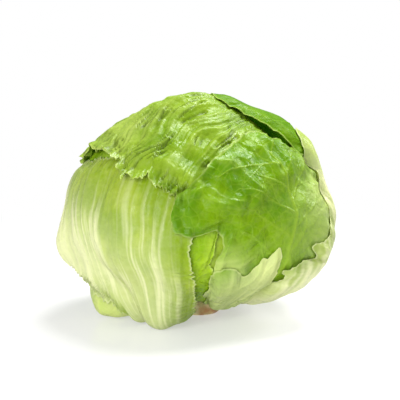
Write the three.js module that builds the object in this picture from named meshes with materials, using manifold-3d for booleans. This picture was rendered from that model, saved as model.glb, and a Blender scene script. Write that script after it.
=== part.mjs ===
// A head of iceberg lettuce, as picked, standing on its cut stem.
// Millimetres, +Z up, the front towards -Y.
//
// The tightly folded middle of the head is one solid, the heart. Each leaf outside it is a
// thin closed shell that lies on the leaves under it. Every surface is given by its distance
// from one middle point, as a function of the direction seen from there. A place on the head
// is [longitude, latitude] in degrees: longitude 0 is the front and 90 the right-hand side,
// latitude 90 is the top.
import * as THREE from 'three';
import { mergeVertices } from 'three/addons/utils/BufferGeometryUtils.js';
import Module from 'manifold-3d';

const MIDDLE_HEIGHT = 61;
const HEART = { left: 69, right: 57.5, front: 61, back: 61, top: 61, bottom: 44 };
const TOP_ROUNDNESS = 1.85;
const BOTTOM_ROUNDNESS = 2.25;
const ROUNDNESS_CHANGE = 3;
const HEART_DETAIL = 5;

// The stem's wall from the cut upwards, as [radius, height], and its rounded top.
const STEM_WALL = [
  [12, 0], [12.5, 0.6], [15.2, 7], [14.7, 16], [11.2, 28], [8.2, 44], [5.2, 50],
];
const STEM_TOP = 52;
const STEM_SIDES = 28;

const BLADE_THICKNESS = 1.2;
const RIB_THICKNESS = 2.0;
const RIB_LATITUDES = [-40, -68];
const LEAF_GAP = 1.4;
const ASSEMBLY_GAP = 0.35;

const FACET_ANGLE = 10.5;
const MAP_STEP = 2;
const MAP_SIZE = 181;
const EDGE_CELLS = 7;
const SMOOTH_CELLS = 3;

const WHITE_GREEN = 0xdfe8ae;
const PALE_GREEN = 0xbfd179;
const FRESH_GREEN = 0x9dbb49;
const MID_GREEN = 0x83ae22;
const DEEP_GREEN = 0x6fa51f;
const CREAM = 0xd9cb96;

// The leaves from the inside to the outside, in the order in which they lie on each other.
// outline: the places round the leaf's edge, from the stem and back to it.
// swellings: places where the leaf stands off, as [longitude, latitude, angle, height].
const LEAVES = [
  {
    name: 'inner_leaf_front', colour: PALE_GREEN, middle: [20, 0],
    outline: [
      [5, -70], [35, -70], [70, -50], [90, 0], [70, 40], [20, 60], [-30, 40], [-50, 0], [-30, -50],
    ],
  },
  {
    name: 'inner_leaf_back', colour: PALE_GREEN, middle: [200, 0],
    outline: [
      [185, -70], [215, -70], [250, -50], [275, 0], [250, 40], [200, 65], [150, 40], [130, 0],
      [150, -50],
    ],
  },
  {
    name: 'inner_leaf_right', colour: PALE_GREEN, middle: [110, 10],
    outline: [
      [95, -70], [125, -70], [160, -50], [185, 0], [160, 50], [110, 80], [60, 50], [40, 0],
      [60, -50],
    ],
    swellings: [[87, -20, 32, 6]],
  },
  {
    name: 'inner_leaf_left', colour: PALE_GREEN, middle: [290, 10],
    outline: [
      [275, -70], [305, -70], [340, -50], [360, 0], [340, 50], [290, 80], [240, 50], [215, 0],
      [240, -50],
    ],
  },
  {
    name: 'back_left_leaf', colour: FRESH_GREEN, middle: [-125, -5],
    outline: [
      [-150, -72], [-120, -72], [-90, -64], [-62, -58], [-46, -52], [-46, -42], [-60, -20],
      [-62, 10], [-58, 36], [-90, 44], [-130, 55], [-170, 50], [-190, 10], [-185, -40],
    ],
    swellings: [[-76, -42, 13, 14], [-60, -48, 11, 8]],
  },
  {
    name: 'strip_leaf', colour: FRESH_GREEN, middle: [-3, -25],
    outline: [
      [-14, -72], [12, -72], [8, -50], [7, -30], [6, -16], [8, -5], [10, 4], [4, 12], [-10, 8],
      [-14, -14], [-12, -30], [-12, -50],
    ],
  },
  {
    name: 'front_left_leaf', colour: WHITE_GREEN, middle: [-50, -8],
    outline: [
      [-30, -72], [-12, -72], [-4, -54], [-2, -32], [-3, -18], [-4, -7], [-2, 2], [-4, 20],
      [-15, 35], [-45, 38], [-64, 32], [-80, 27], [-100, 20], [-112, -5], [-98, -18],
      [-84, -25], [-70, -31], [-57, -39], [-47, -48], [-43, -58],
    ],
    swellings: [[-27, -50, 15, 12.5], [-86, -15, 10, 2.5]],
  },
  {
    name: 'crown_leaf', colour: FRESH_GREEN, middle: [170, 55],
    outline: [
      [150, -72], [180, -72], [-155, -50], [-125, -15], [-105, 18], [-92, 27], [-79, 33],
      [-66, 35], [-54, 34], [-46, 31], [-41, 25], [-29, 23], [-20, 21], [-11, 18], [5, 8],
      [30, 18], [60, 28], [85, 30], [105, 10], [120, -25], [135, -55],
    ],
    swellings: [[0, 84, 18, 5], [-86, 63, 14, 2]],
  },
  {
    name: 'back_leaf', colour: DEEP_GREEN, middle: [120, 0],
    outline: [
      [105, -72], [135, -72], [165, -50], [185, 0], [180, 40], [165, 68], [110, 84], [60, 80],
      [64, 74], [71, 61], [76, 54], [82, 38], [84, 30], [86, 10], [88, -20], [92, -50],
    ],
    swellings: [[100, 38, 23, 7.5]],
  },
  {
    name: 'front_leaf', colour: MID_GREEN, middle: [35, 25],
    outline: [
      [25, -72], [55, -72], [74, -45], [84, -10], [88, 18], [84, 32], [75, 39], [60, 50],
      [38, 50], [20, 41], [11, 37], [2, 27], [-4, 20], [-9, 18], [-11, 8], [-10, 2], [1, 0],
      [8, 2], [11, -2], [12, -8], [9, -13], [8, -25], [9, -50],
    ],
    swellings: [[70, -6, 27, 4]],
  },
  {
    name: 'right_leaf', colour: PALE_GREEN, middle: [92, -20],
    outline: [
      [65, -72], [95, -72], [120, -50], [130, -10], [125, 25], [105, 38], [92, 40], [87, 34],
      [87, 22], [84, 9], [79, 0], [71, -6], [64, -8], [58, -9], [50, -12], [47, -16],
      [42, -20], [46, -27], [40, -30], [34, -50],
    ],
  },
  {
    name: 'torn_leaf', colour: WHITE_GREEN, middle: [24, -44],
    outline: [
      [12, -71], [32, -71], [40, -50], [41, -36], [42, -20], [40, -8], [36, -14], [30, -18],
      [27, -21], [23, -23], [18, -18], [8, -20], [7, -34], [10, -52],
    ],
  },
];

const radians = THREE.MathUtils.degToRad;
const degrees = THREE.MathUtils.radToDeg;

function direction([longitude, latitude]) {
  const across = Math.cos(radians(latitude));
  return new THREE.Vector3(
    Math.sin(radians(longitude)) * across,
    -Math.cos(radians(longitude)) * across,
    Math.sin(radians(latitude)),
  );
}

function angleBetween(a, b) {
  return degrees(Math.acos(THREE.MathUtils.clamp(a.dot(b), -1, 1)));
}

function latitudeOf(way) {
  return degrees(Math.asin(THREE.MathUtils.clamp(way.z, -1, 1)));
}

// The heart is a rounded ball with its own half size on each side.
function heartRadius(way) {
  const side = way.x > 0 ? HEART.right : HEART.left;
  const depth = way.y < 0 ? HEART.front : HEART.back;
  const height = way.z > 0 ? HEART.top : HEART.bottom;
  const belowMiddle = 0.5 - 0.5 * Math.tanh(ROUNDNESS_CHANGE * way.z);
  const power = THREE.MathUtils.lerp(TOP_ROUNDNESS, BOTTOM_ROUNDNESS, belowMiddle);
  const sum = Math.abs(way.x / side) ** power
    + Math.abs(way.y / depth) ** power
    + Math.abs(way.z / height) ** power;
  return sum ** (-1 / power);
}

// Bearing and reach are polar coordinates on the head round one place: the bearing is 0
// towards the top and grows to the right, and the reach is the angle away from the place.
function polarFrame(place) {
  const centre = direction(place);
  const [longitude, latitude] = place.map(radians);
  const upward = new THREE.Vector3(
    -Math.sin(longitude) * Math.sin(latitude),
    Math.cos(longitude) * Math.sin(latitude),
    Math.cos(latitude),
  );
  const sideways = new THREE.Vector3(Math.cos(longitude), Math.sin(longitude), 0);
  return {
    toPolar(way) {
      const bearing = degrees(Math.atan2(way.dot(sideways), way.dot(upward)));
      return { bearing: (bearing + 360) % 360, reach: angleBetween(way, centre) };
    },
    toDirection(bearing, reach) {
      const out = Math.sin(radians(reach));
      return centre.clone().multiplyScalar(Math.cos(radians(reach)))
        .addScaledVector(upward, out * Math.cos(radians(bearing)))
        .addScaledVector(sideways, out * Math.sin(radians(bearing)));
    },
  };
}

// The edge of a leaf as its reach at every bearing, straight between the outline's places.
function edgeOf(leaf, frame) {
  const points = leaf.outline.map((place) => frame.toPolar(direction(place)));
  points.sort((a, b) => a.bearing - b.bearing);
  function reachAt(bearing) {
    const next = points.findIndex((point) => point.bearing > bearing);
    const after = points[next < 0 ? 0 : next];
    const before = points[next > 0 ? next - 1 : points.length - 1];
    const span = (after.bearing - before.bearing + 360) % 360;
    const part = ((bearing - before.bearing + 360) % 360) / span;
    return THREE.MathUtils.lerp(before.reach, after.reach, part);
  }
  return { points, reachAt };
}

// Heights above the heart are kept on a flat map of all directions, with the top of the
// head in its middle and the distance from there in proportion to the angle.
function mapCell(way) {
  const fromTop = 90 - latitudeOf(way);
  const flat = Math.hypot(way.x, way.y) || 1;
  const middle = (MAP_SIZE - 1) / 2;
  return [
    middle + (fromTop * way.x) / flat / MAP_STEP,
    middle - (fromTop * way.y) / flat / MAP_STEP,
  ];
}

function mapDirections() {
  const middle = (MAP_SIZE - 1) / 2;
  return Array.from({ length: MAP_SIZE * MAP_SIZE }, (_, cell) => {
    const across = (cell % MAP_SIZE) - middle;
    const along = middle - Math.floor(cell / MAP_SIZE);
    const fromTop = Math.min(180, Math.hypot(across, along) * MAP_STEP);
    return direction([degrees(Math.atan2(across, -along)), 90 - fromTop]);
  });
}

function heightAt(heights, way) {
  const [across, along] = mapCell(way);
  const column = Math.min(MAP_SIZE - 2, Math.floor(across));
  const row = Math.min(MAP_SIZE - 2, Math.floor(along));
  const first = row * MAP_SIZE + column;
  const near = THREE.MathUtils.lerp(heights[first], heights[first + 1], across - column);
  const far = THREE.MathUtils.lerp(
    heights[first + MAP_SIZE], heights[first + MAP_SIZE + 1], across - column,
  );
  return THREE.MathUtils.lerp(near, far, along - row);
}

// One pass along the map's rows or columns, which puts in each cell what combine makes of
// the cells up to reach away.
function passOver(heights, step, reach, combine) {
  return heights.map((_, cell) => {
    const place = step === 1 ? cell % MAP_SIZE : Math.floor(cell / MAP_SIZE);
    const window = [];
    for (let offset = -reach; offset <= reach; offset += 1) {
      const inside = THREE.MathUtils.clamp(place + offset, 0, MAP_SIZE - 1) - place;
      window.push(heights[cell + inside * step]);
    }
    return combine(window);
  });
}

// What a leaf lies on: the highest thing nearby, smoothed, as a stiff leaf bridges steps.
function bedFor(heights) {
  const highest = (window) => Math.max(...window);
  const average = (window) => window.reduce((sum, value) => sum + value, 0) / window.length;
  let bed = heights;
  for (const combine of [highest, average]) {
    const reach = combine === highest ? EDGE_CELLS : SMOOTH_CELLS;
    for (const step of [1, MAP_SIZE]) {
      bed = passOver(bed, step, reach, combine);
    }
  }
  return bed;
}

function swellingAt(leaf, way) {
  let height = 0;
  for (const [longitude, latitude, angle, top] of leaf.swellings ?? []) {
    const away = angleBetween(way, direction([longitude, latitude]));
    height += top * Math.exp(-((away / angle) ** 2));
  }
  return height;
}

function thicknessAt(way) {
  const towardsStem = THREE.MathUtils.inverseLerp(...RIB_LATITUDES, latitudeOf(way));
  const rib = THREE.MathUtils.clamp(towardsStem, 0, 1);
  return THREE.MathUtils.lerp(BLADE_THICKNESS, RIB_THICKNESS, rib);
}

function pointAt(way, height) {
  const point = way.clone().multiplyScalar(heartRadius(way) + height);
  point.z += MIDDLE_HEIGHT;
  return point;
}

// Rays through every place of the outline, and between them where they lie far apart.
function rayBearings(edge) {
  const bearings = [];
  edge.points.forEach((point, index) => {
    const next = edge.points[(index + 1) % edge.points.length];
    const span = (next.bearing - point.bearing + 360) % 360;
    const parts = Math.max(1, Math.round(span / FACET_ANGLE));
    for (let part = 0; part < parts; part += 1) {
      bearings.push(point.bearing + (span * part) / parts);
    }
  });
  return bearings;
}

// A closed shell between two faces that share one polar grid, joined round the rim: one
// spot in the middle, and round it rings that each have a spot on every ray.
function shellGeometry(middle, ringsOfRays) {
  const rays = ringsOfRays[0].length;
  const rings = ringsOfRays.length;
  const faceSize = 1 + rings * rays;
  const spots = [middle, ...ringsOfRays.flat()];
  const corners = [...spots.map((spot) => spot.outer), ...spots.map((spot) => spot.inner)];
  const outer = (ring, ray) => (ring === 0 ? 0 : 1 + (ring - 1) * rays + (ray % rays));
  const inner = (ring, ray) => faceSize + outer(ring, ray);
  const triangles = [];
  const quad = (a, b, c, d) => triangles.push(a, b, c, a, c, d);
  for (let ray = 0; ray < rays; ray += 1) {
    triangles.push(outer(0, 0), outer(1, ray + 1), outer(1, ray));
    triangles.push(inner(0, 0), inner(1, ray), inner(1, ray + 1));
    for (let ring = 1; ring < rings; ring += 1) {
      quad(outer(ring, ray), outer(ring, ray + 1), outer(ring + 1, ray + 1), outer(ring + 1, ray));
      quad(inner(ring, ray), inner(ring + 1, ray), inner(ring + 1, ray + 1), inner(ring, ray + 1));
    }
    quad(outer(rings, ray), outer(rings, ray + 1), inner(rings, ray + 1), inner(rings, ray));
  }
  const geometry = new THREE.BufferGeometry().setFromPoints(corners);
  geometry.setIndex(triangles);
  geometry.computeVertexNormals();
  return geometry;
}

// Lays one leaf on the heights so far, and raises them by it.
function layLeaf(leaf, ways, heights) {
  const frame = polarFrame(leaf.middle);
  const edge = edgeOf(leaf, frame);
  const bed = bedFor(heights);
  const undersideAt = (way) => heightAt(bed, way) + LEAF_GAP + swellingAt(leaf, way);
  const spotAt = (bearing, part) => {
    const way = frame.toDirection(bearing, edge.reachAt(bearing % 360) * part);
    const underside = undersideAt(way);
    return {
      inner: pointAt(way, underside),
      outer: pointAt(way, underside + thicknessAt(way)),
    };
  };
  const bearings = rayBearings(edge);
  const longest = Math.max(...edge.points.map((point) => point.reach));
  const rings = Math.ceil(longest / FACET_ANGLE);
  const grid = [];
  for (let ring = 1; ring <= rings; ring += 1) {
    grid.push(bearings.map((bearing) => spotAt(bearing, ring / rings)));
  }
  const raised = heights.map((height, cell) => {
    const way = ways[cell];
    const { bearing, reach } = frame.toPolar(way);
    if (reach > edge.reachAt(bearing)) {
      return height;
    }
    return Math.max(height, undersideAt(way) + thicknessAt(way));
  });
  return { geometry: shellGeometry(spotAt(0, 0), grid), heights: raised };
}

function finish(colour) {
  return new THREE.MeshStandardMaterial({ color: colour, roughness: 0.4, metalness: 0 });
}

// The cut stem, wide at the cut and tapering into the heart. grown makes it larger all
// round, for the hole that the heart has for it.
function stemGeometry(grown = 0) {
  const wall = STEM_WALL.map(([radius, height]) => new THREE.Vector2(radius + grown, height));
  const points = [
    new THREE.Vector2(0, 0),
    ...wall,
    new THREE.Vector2(0, STEM_TOP + grown),
  ];
  return new THREE.LatheGeometry(points, STEM_SIDES).rotateX(Math.PI / 2);
}

function closedMesh(geometry) {
  const bare = geometry.clone();
  bare.deleteAttribute('normal');
  bare.deleteAttribute('uv');
  return mergeVertices(bare, 1e-4);
}

function heartGeometry(wasm) {
  const ball = closedMesh(new THREE.IcosahedronGeometry(1, HEART_DETAIL));
  const position = ball.attributes.position;
  for (let index = 0; index < position.count; index += 1) {
    const way = new THREE.Vector3().fromBufferAttribute(position, index).normalize();
    const point = pointAt(way, 0);
    position.setXYZ(index, point.x, point.y, point.z);
  }
  const solidOf = (geometry) => new wasm.Manifold(new wasm.Mesh({
    numProp: 3,
    vertProperties: Float32Array.from(geometry.attributes.position.array),
    triVerts: Uint32Array.from(geometry.index.array),
  }));
  const cut = solidOf(ball).subtract(solidOf(closedMesh(stemGeometry(ASSEMBLY_GAP)))).getMesh();
  const geometry = new THREE.BufferGeometry();
  geometry.setAttribute('position', new THREE.BufferAttribute(cut.vertProperties, 3));
  geometry.setIndex(new THREE.BufferAttribute(cut.triVerts, 1));
  geometry.computeVertexNormals();
  return geometry;
}

function named(name, geometry, colour) {
  const mesh = new THREE.Mesh(geometry, finish(colour));
  mesh.name = name;
  return mesh;
}

const wasm = await Module();
wasm.setup();

const head = new THREE.Group();
head.add(named('stem', closedMesh(stemGeometry()), CREAM));
head.add(named('heart', heartGeometry(wasm), PALE_GREEN));

const ways = mapDirections();
let heights = ways.map(() => 0);
for (const leaf of LEAVES) {
  const laid = layLeaf(leaf, ways, heights);
  heights = laid.heights;
  head.add(named(leaf.name, laid.geometry, leaf.colour));
}

// The middle of the head stands over the origin, with the cut stem on the table.
const size = new THREE.Box3().setFromObject(head);
const middle = size.getCenter(new THREE.Vector3());
head.position.set(-middle.x, -middle.y, 0);

export default head;
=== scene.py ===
"""A head of iceberg lettuce, standing on its cut stem on a pale glossy table.

The head is made in millimetres and put into the scene in metres, +Z up, the front towards
-Y. A place on it is (longitude, latitude) in degrees: longitude 0 is the front and 90 the
right-hand side, and latitude 90 is the top. Every surface is given by its distance from one
middle point, as a function of the way, the unit direction seen from there. The leaves are
laid one after another, from the inside out, on a map of the heights of what is under them.
"""
from dataclasses import dataclass, field

import bmesh
import bpy
import numpy as np
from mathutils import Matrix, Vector


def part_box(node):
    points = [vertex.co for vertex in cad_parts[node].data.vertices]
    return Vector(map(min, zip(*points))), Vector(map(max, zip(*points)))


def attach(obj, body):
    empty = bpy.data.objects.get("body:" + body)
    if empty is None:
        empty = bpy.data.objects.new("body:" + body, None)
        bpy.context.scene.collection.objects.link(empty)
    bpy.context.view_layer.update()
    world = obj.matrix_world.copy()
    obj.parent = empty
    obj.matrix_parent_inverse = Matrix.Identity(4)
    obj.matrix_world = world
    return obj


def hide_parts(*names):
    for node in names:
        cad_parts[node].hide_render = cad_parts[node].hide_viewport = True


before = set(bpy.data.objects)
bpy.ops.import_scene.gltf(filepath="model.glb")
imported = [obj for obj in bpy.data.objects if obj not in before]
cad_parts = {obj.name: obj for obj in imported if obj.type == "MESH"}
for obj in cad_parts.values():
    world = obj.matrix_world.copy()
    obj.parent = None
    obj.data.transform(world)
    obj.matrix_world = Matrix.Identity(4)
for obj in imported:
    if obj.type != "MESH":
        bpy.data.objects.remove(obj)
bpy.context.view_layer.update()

MM = 0.001
SEED = 11

# The studio, in metres: the light that the backdrop gives, how much the table glows near the
# head, and how far away the table turns into the backdrop. Each lamp is (name, place, size,
# watts), and shines on the middle of the head.
WORLD_LIGHT = 0.45
FLOOR_HALF = 4.0
FLOOR_GLOW = 0.42
BACKDROP_DISTANCES = (0.09, 0.34)
LIT_PLACE = (0, 0, 0.06)
LAMPS = [
    ("softbox", (0.2, 0.25, 0.75), 0.5, 12),
    ("front_fill", (-0.4, -1.0, 0.4), 0.8, 14),
    ("side_gleam", (0.62, 0.27, 0.5), 0.25, 3),
]
CAMERA_TARGET = (0.0006, 0, 0.0684)
CAMERA_ELEVATION = 10
CAMERA_DISTANCE = 0.7
FOCAL_LENGTH, SENSOR_WIDTH = 105, 36

# The heart, the tightly folded middle of the head: the height of its middle and its half sizes
# in millimetres, how square it is, and how finely its ball is divided.
MIDDLE_HEIGHT = 61
HEART_LEFT, HEART_RIGHT = 69, 57.5
HEART_DEPTH = 61
HEART_TOP, HEART_BOTTOM = 61, 44
TOP_ROUNDNESS, BOTTOM_ROUNDNESS = 1.85, 2.25
HEART_SUBDIVISIONS = 6
# The creases in it: their depth, the place they run out from, about how many there are, and
# over how many degrees they keep their form.
HEART_CREASES = 1.2
HEART_FAN = (60, 40)
HEART_CREASE_COUNT = 4
HEART_CREASE_LENGTH = 50

# The leaves' thickness in millimetres, the band in degrees along the margin that is thinner,
# and the latitudes between which a leaf thickens to its foot.
BLADE_THICKNESS = 0.6
MARGIN_THICKNESS = 0.35
RIB_THICKNESS = 2.2
THIN_BAND = 3
RIB_LATITUDES = (-40, -70)
# The gaps between leaves, where they lie loose and at their margins, the least gap, and the
# least height over the table, in millimetres.
LOOSE_GAP = 2.0
MARGIN_GAP = 0.35
CLEARANCE = 0.12
TABLE_CLEARANCE = 0.3

# The map of heights: degrees for each cell, over how many cells a leaf bridges steps, and how
# many the result is smoothed over.
MAP_STEP = 0.5
BRIDGE_CELLS = 7
SMOOTH_CELLS = 5
SMOOTH_PASSES = 3
# A margin lies closer to what is under it, and a leaf that stands off takes a wider smoothing,
# more and more between these two heights in millimetres, so that it shows less of it.
CLOSE_CELLS = 2
WIDE_CELLS = 14
STANDING_FREE = (3, 9)

# A leaf's outline, in degrees: the step between its points, over how many of them a corner is
# rounded, the band along it where the leaf settles on what is under it, the length of its
# ragged waves, and how far in the waves of the margin change.
OUTLINE_STEP = 0.25
CORNER_CELLS = 4
MARGIN_BAND = 9
RAGGED_LENGTH = 9
RUFFLE_DEPTH = 14
# The rings of a leaf's mesh crowd towards its margin by this power.
RING_CROWDING = 1.15

# A leaf's folds: where they first show and where they fade, in degrees from the fan's place,
# how much they fade, and over how many degrees they keep their form.
FOLD_FIRST = 4
FOLD_FADE = (85, 120)
FOLD_FADING = 0.8
FOLD_LENGTH = 60
# What follows the folds: the patches where they come and go, fine folds, creases and pale
# streaks. Counts are for each fold, lengths in degrees, and the rest as shares of a fold.
PATCH_COUNT, PATCH_LENGTH = 0.7, 30
FINE_COUNT, FINE_LENGTH, FINE_HEIGHT = 3, 40, 0.32
CREASE_COUNT, CREASE_WIDTH = 1.7, 0.12
STREAK_COUNT, STREAK_LENGTH = 4, 35

# How many cells of noise there are in a radian of the head, for what isn't drawn out along
# the folds, and how far apart the noises of two leaves lie.
SWAY_CELLS = 2.6
CREASE_PATCH_CELLS = 4.5
DEGREES_IN_RADIAN = 57
SMALL_BLISTERS = 2.3
LEAF_APART = 7.7

# The veins, in degrees: the step along the main rib and its width at the foot and the tip, and
# the steps before its first branch and between branches.
RIB_STEP = 2
RIB_WIDTHS = (1.8, 0.45)
FIRST_BRANCH, BRANCH_EVERY = 6, 3
# The branches' step, length and width, the angles at which they and their own branches, the
# twigs, turn off, and a twig's width as a share of the width it grows from.
VEIN_STEP = 1.6
BRANCH_LENGTHS = (22, 40)
BRANCH_WIDTH = 0.6
BRANCH_ANGLES = (38, 62)
TWIG_ANGLES = (30, 55)
TWIG_WIDTH = 0.6
# How strong and how high the rib and each level of branches is.
VEIN_STRENGTHS = (1, 0.7, 0.4, 0.2)
VEIN_HEIGHTS = (1.3, 1, 0.6, 0.35)

# The stem, in millimetres: (radius, height) from the cut upwards, and the height up to which it
# is seen and has fine rings. Its side is rough by a share of the radius, and its cut by a
# height, round a low boss in the middle.
STEM_PROFILE = [(12.1, 0), (12.6, 0.5), (13.4, 2), (15.0, 7), (14.6, 16), (11, 28), (8, 44),
                (5, 50), (1, 52)]
STEM_SEEN = 16
STEM_RAYS = 160
FINE_RINGS, COARSE_RINGS, CUT_RINGS = 40, 20, 16
SIDE_ROUGHNESS = 0.05
CUT_ROUGHNESS = 0.35
BOSS_HEIGHT, BOSS_REACH = 0.5, 3
# Its colours, in metres: the ring of bundles in the cut and the width of its line, and where
# the stain of the rim begins and ends, upwards and outwards.
BUNDLE_RING, BUNDLE_WIDTH = 0.0075, 0.0016
STAIN_HEIGHTS = (0.002, 0.009)
STAIN_REACHES = (0.008, 0.0125)


@dataclass
class Leaf:
    """One leaf. Angles are in degrees on the head, heights in millimetres."""

    name: str
    look: str
    middle: tuple
    outline: list
    # Where the leaf stands off: (longitude, latitude, angle, height).
    swellings: list = field(default_factory=list)
    # How the free margin stands up: (longitude, latitude, angle, height, width of the band).
    lifts: list = field(default_factory=list)
    # The place that the folds run out from, their height, how many there are round the
    # place, how far out they reach their height, how much they turn for each degree on the
    # way out, and how many degrees they sway.
    fan: tuple = (0, -75)
    fold_height: float = 0.5
    fold_count: float = 9
    fold_start: float = 30
    fold_turn: float = 0
    fold_sway: float = 0
    # Rounded blisters between the veins, and sharp creases along the folds, with shade painted
    # into them.
    blister_height: float = 0.5
    blister_size: float = 9
    crease_depth: float = 0
    crease_length: float = 22
    # The waves of the free margin, and the teeth along it.
    ruffle_height: float = 1.2
    ruffle_band: float = 7
    ruffle_length: float = 9
    tooth_size: float = 0.5
    tooth_pitch: float = 3.2
    ragged: float = 0.8
    # The main rib as places from the stem outwards.
    midrib: list = field(default_factory=list)
    vein_height: float = 0.45
    # How far from the fan's place the leaf is white and how strongly, other pale areas as
    # (longitude, latitude, angle, strength), where less than 0 takes away the highlight painted
    # along the margin, and how strong its pale streaks are. Then how many rays and rings its
    # mesh has.
    white_reach: float = 30
    whiteness: float = 0.7
    clearings: list = field(default_factory=list)
    streaks: float = 0.3
    rays: int = 540
    rings: int = 150

    @property
    def inner_rings(self):
        """The inner face is hardly seen, so it has fewer rings."""
        return self.rings // 3


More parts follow.
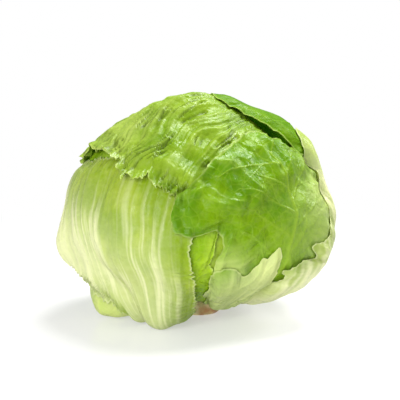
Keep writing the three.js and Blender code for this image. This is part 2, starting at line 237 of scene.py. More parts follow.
LEAVES = [
    Leaf(
        "inner_leaf_front", "inner", (20, 0),
        [(5, -72), (35, -72), (70, -50), (90, 0), (70, 40), (20, 60), (-30, 40), (-50, 0),
         (-30, -50)],
        rays=240, rings=60,
    ),
    Leaf(
        "inner_leaf_back", "inner", (200, 0),
        [(185, -72), (215, -72), (250, -50), (275, 0), (250, 40), (200, 65), (150, 40),
         (130, 0), (150, -50)],
        rays=240, rings=60,
    ),
    Leaf(
        "inner_leaf_right", "inner", (110, 10),
        [(95, -72), (125, -72), (160, -50), (185, 0), (160, 50), (110, 80), (60, 50), (40, 0),
         (60, -50)],
        swellings=[(87, -20, 32, 7)],
        rays=240, rings=60,
    ),
    Leaf(
        "inner_leaf_left", "inner", (290, 10),
        [(275, -72), (305, -72), (340, -50), (360, 0), (340, 50), (290, 80), (240, 50),
         (215, 0), (240, -50)],
        rays=240, rings=60,
    ),
    Leaf(
        "back_left_leaf", "light", (-125, -5),
        [(-150, -73), (-120, -73), (-90, -66), (-62, -60), (-44, -53), (-44, -42),
         (-60, -20), (-62, 10), (-58, 36), (-90, 44), (-130, 55), (-170, 50), (-190, 10),
         (-185, -40)],
        swellings=[(-76, -42, 13, 19), (-60, -48, 11, 11)],
        fan=(-130, -76), fold_height=1.1, fold_count=8,
        midrib=[(-135, -70), (-130, -30), (-128, 5), (-125, 30)],
        blister_height=0.9, tooth_size=1.4, white_reach=45,
        clearings=[(-62, -48, 24, 1)], streaks=0.5,
    ),
    Leaf(
        "strip_leaf", "bright", (-3, -25),
        [(-14, -73), (12, -73), (8, -50), (7, -30), (6, -16), (8, -5), (10, 4), (4, 12),
         (-10, 8), (-14, -14), (-12, -30), (-12, -50)],
        fan=(2, -76), fold_height=0.6, blister_height=0.6, blister_size=6,
        ruffle_height=2.4, ruffle_band=3, ruffle_length=3.5,
        tooth_size=2, tooth_pitch=3.4, ragged=1.2, white_reach=8, streaks=0.5,
        rays=420, rings=90,
    ),
    Leaf(
        "front_left_leaf", "pale", (-50, -8),
        [(-30, -73), (-12, -73), (-4, -54), (-2, -32), (-3, -18), (-4, -7), (-2, 2),
         (-4, 20), (-15, 35), (-45, 38), (-64, 32), (-80, 27), (-100, 20), (-112, -5),
         (-98, -18), (-84, -25), (-70, -31), (-57, -39), (-47, -48), (-43, -58)],
        swellings=[(-28, -50, 15, 19.5), (-86, -15, 10, 8), (-76, -32, 12, 2)],
        lifts=[(-3, -20, 30, 2, 5)],
        fan=(-26, -74), fold_height=0.85, fold_count=25, fold_start=80, fold_sway=3,
        blister_height=0.2, tooth_size=2, tooth_pitch=2.8, ruffle_height=0.8,
        white_reach=100, whiteness=0.6, clearings=[(-78, -16, 26, 0.9)], streaks=1,
    ),
    Leaf(
        "crown_leaf", "crown", (170, 55),
        [(150, -73), (180, -73), (-155, -50), (-125, -15), (-105, 18), (-92, 27),
         (-79, 33), (-66, 35), (-54, 34), (-46, 31), (-41, 25), (-29, 23), (-25, 25),
         (-20, 21), (-11, 18), (5, 8), (30, 18), (60, 28), (85, 30), (105, 10),
         (120, -25), (135, -55)],
        swellings=[(0, 84, 18, 8), (-80, 34, 16, 2), (-86, 63, 14, 2.5),
                   (-22, 41, 4, -1.6), (-7, 38, 5, -1.8), (7, 50, 4, -1.5)],
        lifts=[(-35, 26, 24, 3, 5)],
        fan=(115, 47), fold_height=1.5, fold_count=26, fold_start=60, fold_turn=0.1,
        fold_sway=8,
        blister_height=0.8, blister_size=11, crease_depth=1.5,
        ruffle_height=5.5, ruffle_band=7, ruffle_length=5, tooth_size=2.2, ragged=4,
        midrib=[(165, -70), (168, -20), (172, 30), (-160, 70)],
        # The crown's clearing at (-78, 46) paints a paler patch for the light that grazes its
        # top left.
        white_reach=0, clearings=[(-78, 46, 22, 0.35)], streaks=0.5, rays=620, rings=170,
    ),
    Leaf(
        "back_leaf", "dark", (120, 0),
        [(105, -73), (135, -73), (165, -50), (185, 0), (180, 40), (165, 68), (110, 84),
         (60, 80), (64, 74), (67, 67), (71, 61), (76, 54), (79, 46), (82, 38), (84, 30),
         (86, 10), (88, -20), (92, -50)],
        swellings=[(106, 41, 20, 12.5)],
        fan=(120, -76), fold_height=1.0, fold_count=9, blister_height=1.1,
        ruffle_height=1.6, ruffle_length=12, tooth_size=0.6,
        midrib=[(120, -70), (122, -30), (122, 5), (120, 40)],
        white_reach=38, streaks=0.3,
    ),
    Leaf(
        "front_leaf", "green", (35, 25),
        [(25, -73), (55, -73), (74, -45), (84, -10), (88, 18), (84, 32), (75, 39), (60, 50),
         (38, 50), (20, 41), (11, 37), (2, 27), (-4, 20), (-9, 18), (-11, 8), (-10, 2),
         (-4, 0), (1, 0), (8, 2), (11, -2), (12, -8), (9, -13), (8, -25), (9, -50)],
        swellings=[(70, -6, 27, 8), (14, 36, 8, 1.8), (46, 45, 9, 1.8),
                   (38, 39, 7, -2.4), (57, 5, 2.6, -1), (71, 17, 3, -1), (47, 27, 2, -0.8)],
        lifts=[(2, 24, 24, 3.4, 6)],
        fan=(50, 5), fold_height=0.9, fold_count=8, fold_sway=12,
        blister_height=1.8, blister_size=12,
        ruffle_height=0.9, ruffle_band=5, ruffle_length=12, tooth_size=0.35, ragged=1,
        midrib=[(42, -70), (44, -19), (45, -7), (51, 6), (50, 20), (46, 38)],
        vein_height=0.4, white_reach=0,
        clearings=[(13, -22, 12, 0.9), (70, -6, 22, 0.45), (80, 10, 15, 0.4),
                   (-9, 14, 11, -0.5)],
        streaks=0.25,
    ),
    Leaf(
        "right_leaf", "pale", (92, -20),
        [(65, -73), (95, -73), (120, -50), (130, -10), (125, 25), (105, 38), (92, 40),
         (87, 34), (87, 22), (84, 9), (79, 0), (71, -6), (64, -8), (58, -8), (56, -10),
         (61, -13), (60, -15), (53, -14), (48, -16), (42, -20), (46, -22), (46, -27),
         (40, -30), (38, -36), (34, -50)],
        swellings=[(104, 20, 16, 3.5)],
        lifts=[(46, -20, 12, 2, 4)],
        fan=(75, -76), fold_height=0.7, fold_count=14, blister_height=0.3,
        ruffle_height=0.4, tooth_size=1, ragged=1, white_reach=80, whiteness=0.9,
        clearings=[(88, 10, 24, 0.7), (60, -45, 30, 0.5)], streaks=0.9,
    ),
    Leaf(
        "torn_leaf", "torn", (24, -44),
        [(12, -72), (32, -72), (40, -50), (41, -36), (42, -20), (40, -8), (37, -11),
         (36, -14), (33, -13), (32, -15), (30, -18), (27, -21), (23, -23), (21, -20),
         (18, -18), (13, -18), (8, -20), (7, -34), (10, -52)],
        fan=(16, -76), fold_height=0.4, fold_count=12, blister_height=0.2,
        ruffle_height=0.5, tooth_size=0.7, tooth_pitch=5, ragged=0.4, white_reach=0,
        clearings=[(30, -40, 40, 0.7), (40, -16, 14, 0.5), (14, -14, 9, -0.4)],
        streaks=0.3,
        rays=480, rings=90,
    ),
]


def way_to(place):
    """The way to a place, or to an array of places."""
    longitude, latitude = np.radians(np.moveaxis(np.asarray(place, float), -1, 0))
    across = np.cos(latitude)
    return np.stack([np.sin(longitude) * across, -np.cos(longitude) * across,
                     np.sin(latitude)], -1)


def angle_from(ways, way):
    """Degrees between each way and one other."""
    return np.degrees(np.arccos(np.clip(ways @ way, -1, 1)))


def blend(start, end, part):
    """Start where part is 0, and end where it is 1."""
    return start + (end - start) * part


def ramp(value, start, end):
    """0 at start and 1 at end, with a smooth change between them."""
    part = np.clip((value - start) / (end - start), 0, 1)
    return part * part * (3 - 2 * part)


class Flat:
    """Flat coordinates round a place: degrees to its right, and degrees towards the top."""

    def __init__(self, place):
        longitude, latitude = np.radians(place)
        self.centre = way_to(place)
        self.right = np.array([np.cos(longitude), np.sin(longitude), 0])
        self.up = np.array([
            -np.sin(longitude) * np.sin(latitude),
            np.cos(longitude) * np.sin(latitude),
            np.cos(latitude),
        ])

    def of(self, ways):
        sideways, upwards = ways @ self.right, ways @ self.up
        length = np.maximum(np.hypot(sideways, upwards), 1e-9)
        stretch = angle_from(ways, self.centre) / length
        return np.stack([sideways * stretch, upwards * stretch], -1)

    def ways(self, bearing, reach):
        bearing, reach = np.radians(bearing), np.radians(reach)
        sideways = (np.sin(reach) * np.sin(bearing))[..., None] * self.right
        upwards = (np.sin(reach) * np.cos(bearing))[..., None] * self.up
        return np.cos(reach)[..., None] * self.centre + sideways + upwards


def polar(flat):
    """The bearing, from 0 to 360 degrees, and the reach of flat coordinates."""
    bearing = np.degrees(np.arctan2(flat[..., 0], flat[..., 1])) % 360
    return bearing, np.hypot(flat[..., 0], flat[..., 1])


class Noise:
    """Smooth noise in space, about -1 to 1, the same on every run."""

    SIZE = 32
    GAIN = 1.6

    def __init__(self, seed):
        slopes = np.random.default_rng(seed).normal(size=(self.SIZE,) * 3 + (3,))
        self.slopes = slopes / np.linalg.norm(slopes, axis=-1, keepdims=True)

    def at(self, points):
        whole = np.floor(points).astype(int)
        part = points - whole
        ease = part**3 * (part * (part * 6 - 15) + 10)
        total = np.zeros(points.shape[:-1])
        for corner in np.ndindex(2, 2, 2):
            slope = self.slopes[tuple(np.moveaxis((whole + corner) % self.SIZE, -1, 0))]
            weight = np.where(np.array(corner) == 1, ease, 1 - ease).prod(-1)
            total += weight * np.sum(slope * (part - corner), -1)
        return total * self.GAIN

    def rough(self, points, octaves=3):
        """Noise with finer and lower noise on top."""
        return sum(self.at(points * 2**level + level * 5.3) / 2**level
                   for level in range(octaves))


noise = Noise(SEED)


def heart_radius(ways):
    """How far the heart reaches from the middle point: an egg with a soft square section."""
    x, y, z = np.moveaxis(ways, -1, 0)
    side = np.where(x > 0, HEART_RIGHT, HEART_LEFT)
    height = np.where(z > 0, HEART_TOP, HEART_BOTTOM)
    power = blend(TOP_ROUNDNESS, BOTTOM_ROUNDNESS, 0.5 - 0.5 * np.tanh(3 * z))
    total = (np.abs(x / side)**power + np.abs(y / HEART_DEPTH)**power
             + np.abs(z / height)**power)
    return total**(-1 / power)


class HeightMap:
    """Heights above the heart on a flat map of all ways, with the top in its middle."""

    def __init__(self):
        self.size = int(360 / MAP_STEP) + 1
        self.middle = (self.size - 1) / 2
        steps = np.arange(self.size) - self.middle
        across, along = np.meshgrid(steps, -steps)
        from_top = np.minimum(np.hypot(across, along) * MAP_STEP, 180)
        longitude = np.degrees(np.arctan2(across, -along))
        self.ways = way_to(np.stack([longitude, 90 - from_top], -1))
        self.heights = np.zeros((self.size, self.size))

    def sample(self, heights, ways):
        """The height in each way, between the four nearest cells."""
        from_top = np.degrees(np.arccos(np.clip(ways[..., 2], -1, 1)))
        flat = np.maximum(np.hypot(ways[..., 0], ways[..., 1]), 1e-9)
        last = self.size - 1.001
        column = np.clip(self.middle + from_top * ways[..., 0] / flat / MAP_STEP, 0, last)
        row = np.clip(self.middle - from_top * ways[..., 1] / flat / MAP_STEP, 0, last)
        left, top = column.astype(int), row.astype(int)
        across, down = column - left, row - top
        upper = blend(heights[top, left], heights[top, left + 1], across)
        lower = blend(heights[top + 1, left], heights[top + 1, left + 1], across)
        return blend(upper, lower, down)

    def bed(self):
        """What a leaf lies on: the highest thing nearby, smoothed."""
        bed = gather(self.heights, BRIDGE_CELLS, np.max)
        for _ in range(SMOOTH_PASSES):
            bed = gather(bed, SMOOTH_CELLS, np.mean)
        return bed


def gather(heights, reach, combine):
    """In each cell what combine makes of the cells up to reach away."""
    for axis in (0, 1):
        margins = [(reach, reach) if side == axis else (0, 0) for side in (0, 1)]
        padded = np.pad(heights, margins, mode="edge")
        windows = np.lib.stride_tricks.sliding_window_view(padded, 2 * reach + 1, axis)
        heights = combine(windows, axis=-1)
    return heights


class Margin:
    """The edge of a leaf: its reach, and the distance along it, at every bearing."""

    def __init__(self, leaf, flat, offset):
        bearing, reach = polar(flat.of(way_to(leaf.outline)))
        order = np.argsort(bearing)
        self.bearing = np.arange(0, 360, OUTLINE_STEP)
        reach = np.interp(self.bearing, bearing[order], reach[order], period=360)
        reach = rounded(reach, CORNER_CELLS)
        along = self.distance_along(reach)
        wave = np.stack([along / RAGGED_LENGTH, np.full_like(along, offset),
                         np.zeros_like(along)], -1)
        reach = reach + leaf.ragged * noise.rough(wave)
        place = along / leaf.tooth_pitch + 0.4 * noise.at(wave * 2)
        tooth = 1 - np.abs(2 * (place % 1) - 1)
        strength = np.clip(0.7 + noise.at(wave * 1.5 + 40), 0.1, 1.3)
        self.reach = reach + leaf.tooth_size * strength * (tooth**1.5 - 0.4)
        self.along = self.distance_along(self.reach)

    def distance_along(self, reach):
        sideways = reach * np.radians(OUTLINE_STEP)
        return np.cumsum(np.hypot(sideways, np.diff(reach, append=reach[0])))

    def at(self, bearing, values):
        return np.interp(bearing, self.bearing, values, period=360)

    def even_bearings(self, count):
        """Bearings that are evenly far apart along the margin."""
        steps = np.linspace(0, self.along[-1], count, endpoint=False)
        return np.interp(steps, self.along, self.bearing)


def rounded(values, cells):
    """A closed row of numbers with its corners taken off."""
    shifts = range(-cells, cells + 1)
    return sum(np.roll(values, shift) for shift in shifts) / (2 * cells + 1)


class Blade:
    """A leaf's shape as a function of the way."""

    def __init__(self, leaf, index, chart):
        self.leaf = leaf
        self.offset = index * LEAF_APART
        self.flat = Flat(leaf.middle)
        self.fan = Flat(leaf.fan)
        self.margin = Margin(leaf, self.flat, self.offset)
        self.chart = chart
        self.under = chart.heights
        self.bed = chart.bed()
        self.wide_bed = gather(self.bed, WIDE_CELLS, np.mean)
        self.close = gather(chart.heights, CLOSE_CELLS, np.mean)

    def spots(self, ways):
        """What the shape needs to know of each way."""
        bearing, reach = polar(self.flat.of(ways))
        edge = self.margin.at(bearing, self.margin.reach)
        turn, out = polar(self.fan.of(ways))
        turn = turn + self.leaf.fold_turn * out
        if self.leaf.fold_sway:
            turn = turn + self.leaf.fold_sway * noise.at(ways * SWAY_CELLS + self.offset)
        return {
            "ways": ways,
            "inset": np.maximum(edge - reach, 0),
            "along": self.margin.at(bearing, self.margin.along),
            "turn": turn,
            "out": out,
        }

    def fan_noise(self, spots, count, length):
        """Noise drawn out along the folds."""
        turn = np.radians(spots["turn"])
        radius = count / 2
        points = np.stack([radius * np.cos(turn), radius * np.sin(turn),
                           spots["out"] / length + self.offset], -1)
        return noise.at(points)

    def fold_spread(self, spots, fading):
        """How strong the folds are: 0 at the fan's place, 1, and faded again far out."""
        first = ramp(spots["out"], FOLD_FIRST, self.leaf.fold_start)
        return first * (1 - fading * ramp(spots["out"], *FOLD_FADE))

    def relief(self, spots):
        """The leaf's own form over what it lies on."""
        leaf = self.leaf
        ways = spots["ways"]
        spread = self.fold_spread(spots, FOLD_FADING)
        folds = self.ribs(spots)
        fine = self.fan_noise(spots, leaf.fold_count * FINE_COUNT, FINE_LENGTH)
        height = leaf.fold_height * spread * (folds + FINE_HEIGHT * fine)
        blisters = ways * DEGREES_IN_RADIAN / leaf.blister_size
        puff = noise.at(blisters + self.offset)
        small = noise.at(blisters * SMALL_BLISTERS + self.offset)
        height += leaf.blister_height * (1 - np.abs(puff) * 1.5 + 0.4 * small) * spread
        height -= leaf.crease_depth * self.creases(spots)
        waves = np.stack([spots["along"] / leaf.ruffle_length, spots["inset"] / RUFFLE_DEPTH,
                          np.full_like(spots["along"], self.offset)], -1)
        near_edge = 1 - ramp(spots["inset"], 0, leaf.ruffle_band)
        ruffle = 0.5 + 0.7 * noise.rough(waves, 2)
        height += leaf.ruffle_height * near_edge * ruffle.clip(0)
        return height

    def ribs(self, spots):
        """1 along the raised ribs of the folds, and less between them."""
        count = self.leaf.fold_count
        fold = np.abs(self.fan_noise(spots, count, FOLD_LENGTH))
        patches = self.fan_noise(spots, count * PATCH_COUNT, PATCH_LENGTH)
        return 1 - 1.6 * fold - 0.6 * (1 - ramp(patches, -0.5, 0.4))

    def creases(self, spots):
        """How deep in a crease each spot lies, from 0 to 1."""
        leaf = self.leaf
        line = self.fan_noise(spots, leaf.fold_count * CREASE_COUNT, leaf.crease_length)
        patches = noise.at(spots["ways"] * CREASE_PATCH_CELLS + self.offset + 20)
        depth = np.exp(-((line / CREASE_WIDTH)**2)) * ramp(patches, -0.15, 0.25)
        return depth * self.fold_spread(spots, 1)

    def standing(self, spots):
        """How high the leaf stands off by its larger form."""
        height = np.zeros_like(spots["out"])
        for longitude, latitude, angle, top in self.leaf.swellings:
            away = angle_from(spots["ways"], way_to((longitude, latitude)))
            height += top * np.exp(-((away / angle)**2))
        for longitude, latitude, angle, top, band in self.leaf.lifts:
            away = angle_from(spots["ways"], way_to((longitude, latitude)))
            rise = (1 - spots["inset"] / band).clip(0)**1.5
            height += top * rise * np.exp(-((away / angle)**2))
        return height

    def underside(self, spots):
        """How high the leaf's inner face lies above the heart."""
        ways = spots["ways"]
        under = self.chart.sample(self.under, ways)
        inner = ramp(spots["inset"], 0, MARGIN_BAND)
        standing = self.standing(spots)
        bed = blend(self.chart.sample(self.bed, ways), self.chart.sample(self.wide_bed, ways),
                    ramp(standing, *STANDING_FREE))
        lying = blend(self.chart.sample(self.close, ways) + MARGIN_GAP, bed + LOOSE_GAP, inner)
        lying += standing
        lowest = under + CLEARANCE
        return np.maximum(lying + self.relief(spots) - 0.5 * self.leaf.fold_height, lowest)

    def thickness(self, spots):
        """Thin at the margin, and thick at the rib near the stem."""
        latitude = np.degrees(np.arcsin(np.clip(spots["ways"][..., 2], -1, 1)))
        rib = ramp(latitude, *RIB_LATITUDES)
        inner = ramp(spots["inset"], 0, THIN_BAND)
        blade = blend(MARGIN_THICKNESS, BLADE_THICKNESS, inner)
        return blend(blade, RIB_THICKNESS, rib * inner)

    def raise_chart(self):
        """Puts the leaf on the map, for the next leaf to lie on."""
        bearing, reach = polar(self.flat.of(self.chart.ways))
        inside = reach < self.margin.at(bearing, self.margin.reach)
        spots = self.spots(self.chart.ways[inside])
        heights = self.under.copy()
        top = self.underside(spots) + self.thickness(spots)
        heights[inside] = np.maximum(heights[inside], top)
        self.chart.heights = heights


def grow_vein(start, heading, length, width, level, draw, chains):
    """Adds a vein as a chain of (x, y, width) points, and the veins that branch off it."""
    count = max(2, int(length / VEIN_STEP))
    point = np.array(start, float)
    chain = [(*point, width)]
    last_level = len(VEIN_HEIGHTS) - 1
    bend = draw.uniform(-1.2, 1.2)
    side = draw.choice([-1, 1])
    for index in range(count):
        heading += bend + draw.normal(0, 5)
        point = point + VEIN_STEP * np.array([np.sin(np.radians(heading)),
                                              np.cos(np.radians(heading))])
        left = 1 - (index + 1) / count
        chain.append((*point, width * (0.35 + 0.65 * left)))
        if level < last_level and index % 3 == 2:
            grow_vein(point, heading + side * draw.uniform(*TWIG_ANGLES),
                      length * left * 0.62 + 2, width * TWIG_WIDTH, level + 1, draw, chains)
            side = -side
    chains.append((level, np.array(chain)))


def vein_chains(leaf, flat):
    """The veins of a leaf in its flat coordinates: the main rib and its branches."""
    draw = np.random.default_rng(SEED + len(leaf.name))
    corners = flat.of(way_to(leaf.midrib))
    lengths = np.hypot(*np.diff(corners, axis=0).T)
    places = np.concatenate([[0], np.cumsum(lengths)])
    steps = np.arange(0, places[-1], RIB_STEP)
    rib = np.stack([np.interp(steps, places, corners[:, axis]) for axis in (0, 1)], -1)
    widths = blend(*RIB_WIDTHS, steps / places[-1])
    chains = [(0, np.column_stack([rib, widths]))]
    side = 1
    for index in range(FIRST_BRANCH, len(rib) - 1, BRANCH_EVERY):
        ahead = rib[index + 1] - rib[index]
        heading = np.degrees(np.arctan2(ahead[0], ahead[1]))
        length = draw.uniform(*BRANCH_LENGTHS)
        grow_vein(rib[index], heading + side * draw.uniform(*BRANCH_ANGLES), length,
                  BRANCH_WIDTH * draw.uniform(0.7, 1.1), 1, draw, chains)
        side = -side
    return chains


def vein_field(chains, flat):
    """How strongly each point lies on a vein, from 0 to 1, and how high the vein stands."""
    strength = np.zeros(flat.shape[:-1])
    height = np.zeros(flat.shape[:-1])
    for level, chain in chains:
        reach = 3 * chain[:, 2].max()
        low, high = chain[:, :2].min(0) - reach, chain[:, :2].max(0) + reach
        near = ((flat > low) & (flat < high)).all(-1)
        points = flat[near]
        found = np.zeros(len(points))
        for start, end in zip(chain[:-1], chain[1:]):
            line = end[:2] - start[:2]
            part = ((points - start[:2]) @ line / (line @ line)).clip(0, 1)
            away = np.hypot(*(points - start[:2] - part[:, None] * line).T)
            width = blend(start[2], end[2], part)
            found = np.maximum(found, np.exp(-((away / width)**2)))
        strength[near] = np.maximum(strength[near], found * VEIN_STRENGTHS[level])
        height[near] = np.maximum(height[near], found * VEIN_HEIGHTS[level])
    return strength, height


def leaf_points(blade):
    """The outer and inner face of a leaf as rings of points, and what its colours need."""
    leaf = blade.leaf
    bearings = blade.margin.even_bearings(leaf.rays)
    edge = blade.margin.at(bearings, blade.margin.reach)
    faces = []
    for rings in (leaf.rings, leaf.inner_rings):
        parts = 1 - (1 - np.arange(1, rings + 1) / rings)**RING_CROWDING
        reach = parts[:, None] * edge
        ways = blade.flat.ways(np.broadcast_to(bearings, reach.shape), reach)
        ways = np.concatenate([np.broadcast_to(blade.flat.centre, (1, leaf.rays, 3)), ways])
        faces.append(blade.spots(ways))
    outside, inside = faces
    bottom = blade.underside(inside)
    top = blade.underside(outside) + blade.thickness(outside)
    strength = np.zeros_like(top)
    if leaf.midrib:
        chains = vein_chains(leaf, blade.flat)
        strength, height = vein_field(chains, blade.flat.of(outside["ways"]))
        settle = ramp(outside["inset"], 0, 2)
        top += leaf.vein_height * height * settle
        strength *= settle
    values = [leaf_values(blade, outside, strength), leaf_values(blade, inside, None)]
    return [head_points(outside["ways"], top), head_points(inside["ways"], bottom)], values


def leaf_values(blade, spots, veins):
    """What the leaf's material reads at each point: where it is pale, veined and so on."""
    leaf = blade.leaf
    reach = leaf.white_reach
    pale = np.zeros_like(spots["out"])
    if reach:
        near_stem = 1 - ramp(spots["out"], 0.3 * reach, reach)
        pale += leaf.whiteness * near_stem * ramp(spots["inset"], 0, 18)
    for longitude, latitude, angle, strength in leaf.clearings:
        away = angle_from(spots["ways"], way_to((longitude, latitude)))
        pale += strength * np.exp(-((away / angle)**2))
    # Where a clearing is below 0, no highlight is painted along the margin.
    no_rim_highlight = (-3 * pale).clip(0, 1)
    fine = blade.fan_noise(spots, leaf.fold_count * STREAK_COUNT, STREAK_LENGTH)
    streak = (1.2 * blade.ribs(spots) - 0.3 + 0.8 * fine).clip(0, 1) * leaf.streaks
    streak *= ramp(spots["out"], -leaf.fold_start, leaf.fold_start)
    none = np.zeros_like(pale)
    return {
        "pale": pale.clip(0, 1),
        "streak": streak,
        "vein": none if veins is None else veins,
        # The crease numbers also carry the shade that is painted into the creases.
        "crease": blade.creases(spots) if leaf.crease_depth else none,
        # rim: where a highlight is painted along the margin, as a light band.
        "rim": (1 - ramp(spots["inset"], 0.2, 1.3)) * (1 - no_rim_highlight),
    }


def head_points(ways, heights):
    """Points in millimetres from the stem's foot."""
    points = ways * (heart_radius(ways) + heights)[..., None]
    points[..., 2] += MIDDLE_HEIGHT
    points[..., 2] = np.maximum(points[..., 2], TABLE_CLEARANCE)
    return points


def shell_faces(outer_rings, inner_rings, rays):
    """Corner numbers of a closed shell of two faces of rings, joined round the rim.

    The first ring of each face is one point in its middle, numbered 0 and outer_rings * rays
    + 1, and every other ring has a point on each ray.
    """
    triangles, quads = [], []
    ray = np.arange(rays)
    after = (ray + 1) % rays
    sides = ((0, outer_rings, False), (outer_rings * rays + 1, inner_rings, True))
    for first, rings, turned in sides:
        middle = np.full(rays, first)
        fan = [middle, first + 1 + after, first + 1 + ray]
        triangles.append(np.stack(fan[::-1] if turned else fan, -1))
        for ring in range(rings - 1):
            low = first + 1 + ring * rays
            high = low + rays
            quad = [low + ray, low + after, high + after, high + ray]
            quads.append(np.stack(quad[::-1] if turned else quad, -1))
    outer = 1 + (outer_rings - 1) * rays
    inner = outer_rings * rays + 2 + (inner_rings - 1) * rays
    quads.append(np.stack([outer + ray, outer + after, inner + after, inner + ray], -1))
    return np.concatenate(triangles), np.concatenate(quads)


def make_piece(name, points, triangles, quads, values=None):
    """A smooth mesh object with one number at each point for each of its values."""
    mesh = bpy.data.meshes.new(name)
    mesh.vertices.add(len(points))
    mesh.vertices.foreach_set("co", (points * MM + origin).astype(np.float32).ravel())
    corners = np.concatenate([triangles.ravel(), quads.ravel()]).astype(np.int32)
    mesh.loops.add(len(corners))
    mesh.loops.foreach_set("vertex_index", corners)
    starts = np.concatenate([
        np.arange(len(triangles)) * 3,
        len(triangles) * 3 + np.arange(len(quads)) * 4,
    ]).astype(np.int32)
    mesh.polygons.add(len(starts))
    mesh.polygons.foreach_set("loop_start", starts)
    mesh.update(calc_edges=True)
    mesh.validate()
    mesh.shade_smooth()
    for key, numbers in (values or {}).items():
        layer = mesh.attributes.new(key, "FLOAT", "POINT")
        layer.data.foreach_set("value", np.asarray(numbers, np.float32).ravel())
    piece = bpy.data.objects.new(name, mesh)
    bpy.context.scene.collection.objects.link(piece)
    return piece


def leaf_piece(leaf, index, chart):
    """Makes a leaf, and puts it on the map of heights."""
    blade = Blade(leaf, index, chart)
    faces, values = leaf_points(blade)
    blade.raise_chart()
    joined = [np.concatenate([face[0, :1], face[1:].reshape(-1, 3)]) for face in faces]
    numbers = {
        key: np.concatenate([
            np.concatenate([side[key][0, :1], side[key][1:].ravel()]) for side in values
        ])
        for key in values[0]
    }
    triangles, quads = shell_faces(leaf.rings, leaf.inner_rings, leaf.rays)
    points = np.concatenate(joined)
    piece = make_piece(leaf.name + "_blade", points, triangles, quads, numbers)
    piece.data.materials.append(leaf_material(leaf.look))
    return piece


def linear(red, green, blue):
    """A colour given as 0 to 255 on a screen, as a shader takes it."""
    share = np.array([red, green, blue]) / 255
    line = np.where(share <= 0.04045, share / 12.92, ((share + 0.055) / 1.055)**2.4)
    return (*line, 1)


# Each look: the two greens that the blade varies between, the white of its ribs and base,
# the colour of its veins, how strongly the fine net of veins shows, and how glossy it is.
LOOKS = {
    "inner": ((150, 188, 30), (180, 208, 60), (226, 234, 170), (206, 222, 130), 0.1, 0.3),
    "pale": ((140, 172, 14), (172, 194, 56), (234, 237, 186), (212, 222, 142), 0.05, 0.35),
    "torn": ((98, 148, 0), (130, 172, 0), (230, 236, 164), (214, 224, 130), 0.05, 0.3),
    "bright": ((134, 180, 0), (172, 206, 30), (214, 228, 130), (190, 216, 84), 0.2, 0.3),
    "crown": ((116, 156, 8), (146, 178, 40), (208, 218, 126), (176, 202, 84), 0.2, 0.28),
    "light": ((120, 170, 0), (160, 198, 30), (226, 234, 150), (188, 214, 84), 0.2, 0.35),
    "green": ((98, 148, 0), (130, 172, 0), (216, 228, 140), (166, 198, 60), 0.28, 0.28),
    "dark": ((86, 136, 0), (114, 160, 0), (200, 218, 110), (140, 182, 40), 0.2, 0.08),
}

# The shade painted into a crease, as a share of the deep green, the cells of the veins' net in
# a metre, and the share of light that goes through a leaf.
CREASE_SHADE = 0.55
NET_CELLS = 170
THROUGH_SHARE = 0.4


class Nodes:
    """Short ways to add shader nodes to a material."""

    def __init__(self, name):
        self.material = bpy.data.materials.new(name)
        self.material.use_nodes = True
        self.tree = self.material.node_tree
        self.tree.nodes.clear()

    def add(self, kind, inputs=None, **settings):
        node = self.tree.nodes.new("ShaderNode" + kind)
        for key, value in settings.items():
            setattr(node, key, value)
        for key, value in (inputs or {}).items():
            if isinstance(value, bpy.types.NodeSocket):
                self.tree.links.new(value, node.inputs[key])
            else:
                node.inputs[key].default_value = value
        return node

    def number(self, key):
        """One of the numbers that a mesh holds at each point."""
        return self.add("Attribute", attribute_name=key).outputs["Fac"]

    def mix(self, part, first, second):
        node = self.add("Mix", {0: part, 6: first, 7: second}, data_type="RGBA")
        return node.outputs[2]

    def math(self, operation, first, second=0.0, clamp=False):
        node = self.add("Math", {0: first, 1: second}, operation=operation,
                        use_clamp=clamp)
        return node.outputs[0]

    def span(self, value, low, high, to_low=0.0, to_high=1.0):
        """A smooth change from to_low, where value is low, to to_high, where it is high."""
        node = self.add("MapRange", {0: value, 1: low, 2: high, 3: to_low, 4: to_high},
                        interpolation_type="SMOOTHSTEP")
        return node.outputs[0]

    def noise(self, scale, detail=3.0, rough=0.5):
        place = self.add("TexCoord").outputs["Object"]
        node = self.add("TexNoise", {"Vector": place, "Scale": scale, "Detail": detail,
                                     "Roughness": rough})
        return node.outputs[0]

    def cells(self, scale, feature):
        place = self.add("TexCoord").outputs["Object"]
        node = self.add("TexVoronoi", {"Vector": place, "Scale": scale}, feature=feature)
        return node.outputs["Distance"]

    def bump(self, height, distance, normal=None):
        inputs = {"Height": height, "Distance": distance, "Strength": 1.0}
        if normal is not None:
            inputs["Normal"] = normal
        return self.add("Bump", inputs).outputs[0]

    def output(self, shader):
        self.add("OutputMaterial", {"Surface": shader})
        return self.material


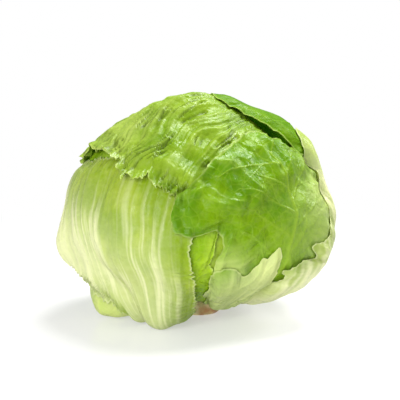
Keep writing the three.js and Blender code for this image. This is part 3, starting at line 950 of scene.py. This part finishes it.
def leaf_colour(nodes, look, edge):
    """Two greens in clouds, white ribs and base, veins in a net, a highlight painted along the
    margin, and shade painted into the creases.
    """
    deep, light, white, vein, net, _ = LOOKS[look]
    clouds = nodes.span(nodes.noise(38, 4.0, 0.6), 0.35, 0.65)
    colour = nodes.mix(clouds, linear(*deep), linear(*light))
    mottle = nodes.noise(260, 3.0)
    base = nodes.math("MULTIPLY", nodes.number("pale"), 0.85)
    streak = nodes.math("MULTIPLY", nodes.number("streak"), 0.75)
    ribs = nodes.math("ADD", base, nodes.math("MULTIPLY", streak,
                                              nodes.span(nodes.number("pale"), 0, 0.5, 0.35)))
    patch = nodes.math("ADD", ribs, nodes.math("MULTIPLY", nodes.math(
        "SUBTRACT", mottle, 0.5), 0.25), clamp=True)
    colour = nodes.mix(patch, colour, linear(*white))
    colour = nodes.mix(nodes.math("MULTIPLY", nodes.number("vein"), 0.65), colour,
                       linear(*vein))
    lines = nodes.span(edge, 0.0, 0.09, 1.0, 0.0)
    colour = nodes.mix(nodes.math("MULTIPLY", lines, net * 0.6), colour, linear(*vein))
    # A highlight painted along the margin: the colour goes towards the white there.
    colour = nodes.mix(nodes.math("MULTIPLY", nodes.number("rim"), 0.45), colour,
                       linear(*white))
    # Shade painted into the creases: the colour goes darker, towards the deep green.
    fold = nodes.math("MULTIPLY", nodes.number("crease"), 0.8)
    return nodes.mix(fold, colour, linear(*(CREASE_SHADE * np.array(deep))))


def leaf_material(look):
    """A waxy leaf with light coming through it, embossed by the net of veins."""
    name = "leaf_" + look
    if name in bpy.data.materials:
        return bpy.data.materials[name]
    *_, net, glossy = LOOKS[look]
    nodes = Nodes(name)
    edge = nodes.cells(NET_CELLS, "DISTANCE_TO_EDGE")
    colour = leaf_colour(nodes, look, edge)
    normal = nodes.bump(nodes.span(edge, 0.0, 0.25), 0.00025 * (0.3 + net))
    normal = nodes.bump(nodes.noise(420, 4.0, 0.55), 0.0004, normal)
    gloss = nodes.span(nodes.noise(180, 2.0), 0.3, 0.7, 0.24, 0.42)
    waxy = nodes.add("BsdfPrincipled", {
        "Base Color": colour, "Roughness": gloss, "Normal": normal, "IOR": 1.42,
        "Specular IOR Level": glossy,
    })
    through = nodes.add("BsdfTranslucent", {"Color": colour, "Normal": normal})
    shader = nodes.add("MixShader", {
        0: THROUGH_SHARE, 1: waxy.outputs[0], 2: through.outputs[0],
    })
    return nodes.output(shader.outputs[0])


def stem_material():
    """Cut flesh: cream, with a ring of bundles, browned towards the rim of the cut."""
    nodes = Nodes("stem_flesh")
    place = nodes.add("TexCoord").outputs["Object"]
    parts = nodes.add("SeparateXYZ", {0: place}).outputs
    across = nodes.math("SUBTRACT", parts[0], origin[0])
    along = nodes.math("SUBTRACT", parts[1], origin[1])
    reach = nodes.math("SQRT", nodes.math("ADD", nodes.math("MULTIPLY", across, across),
                                          nodes.math("MULTIPLY", along, along)))
    wobble = nodes.math("MULTIPLY", nodes.math("SUBTRACT", nodes.noise(120), 0.5), 0.006)
    reach = nodes.math("ADD", reach, wobble)
    colour = nodes.mix(nodes.span(nodes.noise(200), 0.35, 0.65), linear(214, 202, 148),
                       linear(190, 176, 116))
    aside = nodes.math("ABSOLUTE", nodes.math("SUBTRACT", reach, BUNDLE_RING))
    ring = nodes.span(aside, 0.0, BUNDLE_WIDTH, 1.0, 0.0)
    colour = nodes.mix(nodes.math("MULTIPLY", ring, 0.5), colour, linear(160, 150, 84))
    low = nodes.span(parts[2], *STAIN_HEIGHTS, 1.0, 0.0)
    rim = nodes.math("MULTIPLY", low, nodes.span(reach, *STAIN_REACHES))
    stain = nodes.math("MULTIPLY", rim, nodes.span(nodes.noise(90), 0.42, 0.62))
    colour = nodes.mix(stain, colour, linear(160, 106, 56))
    normal = nodes.bump(nodes.noise(500, 4.0, 0.6), 0.0006)
    flesh = nodes.add("BsdfPrincipled", {
        "Base Color": colour, "Roughness": 0.42, "Normal": normal,
        "Subsurface Weight": 0.1, "Subsurface Scale": 0.002,
    })
    return nodes.output(flesh.outputs[0])


def heart_piece():
    """The heart: a ball with the long creases of the leaves folded round it."""
    ball = bmesh.new()
    bmesh.ops.create_icosphere(ball, subdivisions=HEART_SUBDIVISIONS, radius=1)
    ball.verts.ensure_lookup_table()
    ways = np.array([vertex.co.normalized() for vertex in ball.verts])
    triangles = np.array([[vertex.index for vertex in face.verts] for face in ball.faces])
    ball.free()
    turn, out = polar(Flat(HEART_FAN).of(ways))
    turn = np.radians(turn)
    points = np.stack([HEART_CREASE_COUNT * np.cos(turn), HEART_CREASE_COUNT * np.sin(turn),
                       out / HEART_CREASE_LENGTH], -1)
    creases = HEART_CREASES * (np.abs(noise.at(points)) * 2 - 1).clip(-1, 0)
    none = np.zeros(len(ways))
    values = {
        "pale": 1 - ramp(angle_from(ways, way_to((0, -90))), 10, 70),
        "streak": (0.5 + noise.at(points * 3)).clip(0, 1) * 0.5,
        "vein": none, "crease": none, "rim": none,
    }
    quads = np.zeros((0, 4), int)
    piece = make_piece("heart_ball", head_points(ways, creases), triangles, quads, values)
    piece.data.materials.append(leaf_material("inner"))
    return piece


def stem_piece():
    """The stem, wide at the cut and tapering into the heart, with an uneven side."""
    radii, levels = np.transpose(STEM_PROFILE)
    heights = np.concatenate([np.linspace(0, STEM_SEEN, FINE_RINGS),
                              np.linspace(STEM_SEEN + 1, levels[-1], COARSE_RINGS)])
    radii = np.interp(heights, levels, radii)
    turn = np.linspace(0, 2 * np.pi, STEM_RAYS, endpoint=False)
    heights, turn = np.meshgrid(heights, turn, indexing="ij")
    wall = np.stack([np.cos(turn) * 3, np.sin(turn) * 3, heights / 9], -1)
    rough = SIDE_ROUGHNESS * noise.rough(wall) * ramp(heights, 0, 2)
    radii = radii[:, None] * (1 + rough)
    side = np.stack([radii * np.sin(turn), -radii * np.cos(turn), heights], -1)
    parts = np.arange(1, CUT_RINGS + 1)[:, None, None] / CUT_RINGS
    cut = side[0] * parts
    grain = np.stack([cut[..., 0] / 2, cut[..., 1] / 2, np.full(cut.shape[:-1], 3.3)], -1)
    rise = (0.5 + noise.rough(grain)) * CUT_ROUGHNESS
    away = np.hypot(cut[..., 0], cut[..., 1])
    rise += BOSS_HEIGHT * np.exp(-((away / BOSS_REACH)**2))
    cut[..., 2] = rise.clip(0, 1) * (1 - parts[..., 0]**6)
    top = np.array([[0, 0, side[-1, 0, 2]]])
    points = np.concatenate([[[0, 0, BOSS_HEIGHT]], cut.reshape(-1, 3), top,
                             side[:0:-1].reshape(-1, 3)])
    triangles, quads = shell_faces(CUT_RINGS, len(side) - 1, STEM_RAYS)
    piece = make_piece("cut_stem", points, triangles, quads)
    piece.data.materials.append(stem_material())
    return piece


def look_at(thing, target):
    """Turns a lamp or camera to face a place."""
    thing.rotation_euler = (Vector(target) - thing.location).to_track_quat("-Z", "Y").to_euler()


def make_floor():
    """A pale table that mirrors the head softly, and fades into a white backdrop."""
    half = FLOOR_HALF
    corners = [(-half, -half, 0), (half, -half, 0), (half, half, 0), (-half, half, 0)]
    mesh = bpy.data.meshes.new("table_top")
    mesh.from_pydata(corners, [], [(0, 1, 2, 3)])
    floor = bpy.data.objects.new("table_top", mesh)
    bpy.context.scene.collection.objects.link(floor)
    nodes = Nodes("white_table")
    haze = nodes.span(nodes.noise(6), 0.4, 0.6, 0.16, 0.2)
    lacquer = nodes.add("BsdfPrincipled", {
        "Base Color": (0.93, 0.93, 0.93, 1), "Roughness": haze, "IOR": 1.4,
    })
    place = nodes.add("TexCoord").outputs["Object"]
    away = nodes.add("VectorMath", {0: place}, operation="LENGTH").outputs["Value"]
    glow = nodes.add("Emission", {"Color": (1, 1, 1, 1), "Strength": 1.0})
    part = nodes.span(away, *BACKDROP_DISTANCES, FLOOR_GLOW)
    shader = nodes.add("MixShader", {0: part, 1: lacquer.outputs[0], 2: glow.outputs[0]})
    mesh.materials.append(nodes.output(shader.outputs[0]))


def make_light(name, location, size, power):
    """A round lamp that shines on the middle of the head."""
    lamp = bpy.data.lights.new(name, "AREA")
    lamp.shape = "DISK"
    lamp.size = size
    lamp.energy = power
    light = bpy.data.objects.new(name, lamp)
    light.location = location
    look_at(light, LIT_PLACE)
    bpy.context.scene.collection.objects.link(light)


def make_studio():
    """A white backdrop that gives a little light, and the lamps."""
    scene = bpy.context.scene
    world = bpy.data.worlds.new("white_studio")
    world.use_nodes = True
    tree = world.node_tree
    seen = tree.nodes.new("ShaderNodeLightPath").outputs["Is Camera Ray"]
    strength = tree.nodes.new("ShaderNodeMapRange")
    tree.links.new(seen, strength.inputs["Value"])
    strength.inputs["To Min"].default_value = WORLD_LIGHT
    background = tree.nodes["Background"]
    background.inputs["Color"].default_value = (1, 1, 1, 1)
    tree.links.new(strength.outputs[0], background.inputs["Strength"])
    scene.world = world
    scene.view_settings.view_transform = "Standard"
    for lamp in LAMPS:
        make_light(*lamp)


def make_camera():
    """A long lens in front of the head, looking slightly down on it."""
    lens = bpy.data.cameras.new("camera")
    lens.lens = FOCAL_LENGTH
    lens.sensor_width = SENSOR_WIDTH
    camera = bpy.data.objects.new("camera", lens)
    target = Vector(CAMERA_TARGET)
    tilt = np.radians(CAMERA_ELEVATION)
    back = Vector((0, -np.cos(tilt), np.sin(tilt)))
    camera.location = target + CAMERA_DISTANCE * back
    look_at(camera, target)
    bpy.context.scene.collection.objects.link(camera)
    bpy.context.scene.camera = camera


stem_low, stem_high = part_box("stem")
origin = np.array([(stem_low.x + stem_high.x) / 2, (stem_low.y + stem_high.y) / 2, 0])

chart = HeightMap()
pieces = {"stem": stem_piece(), "heart": heart_piece()}
for index, leaf in enumerate(LEAVES):
    pieces[leaf.name] = leaf_piece(leaf, index, chart)
for node, piece in pieces.items():
    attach(piece, "root")
    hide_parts(node)

make_floor()
make_studio()
make_camera()
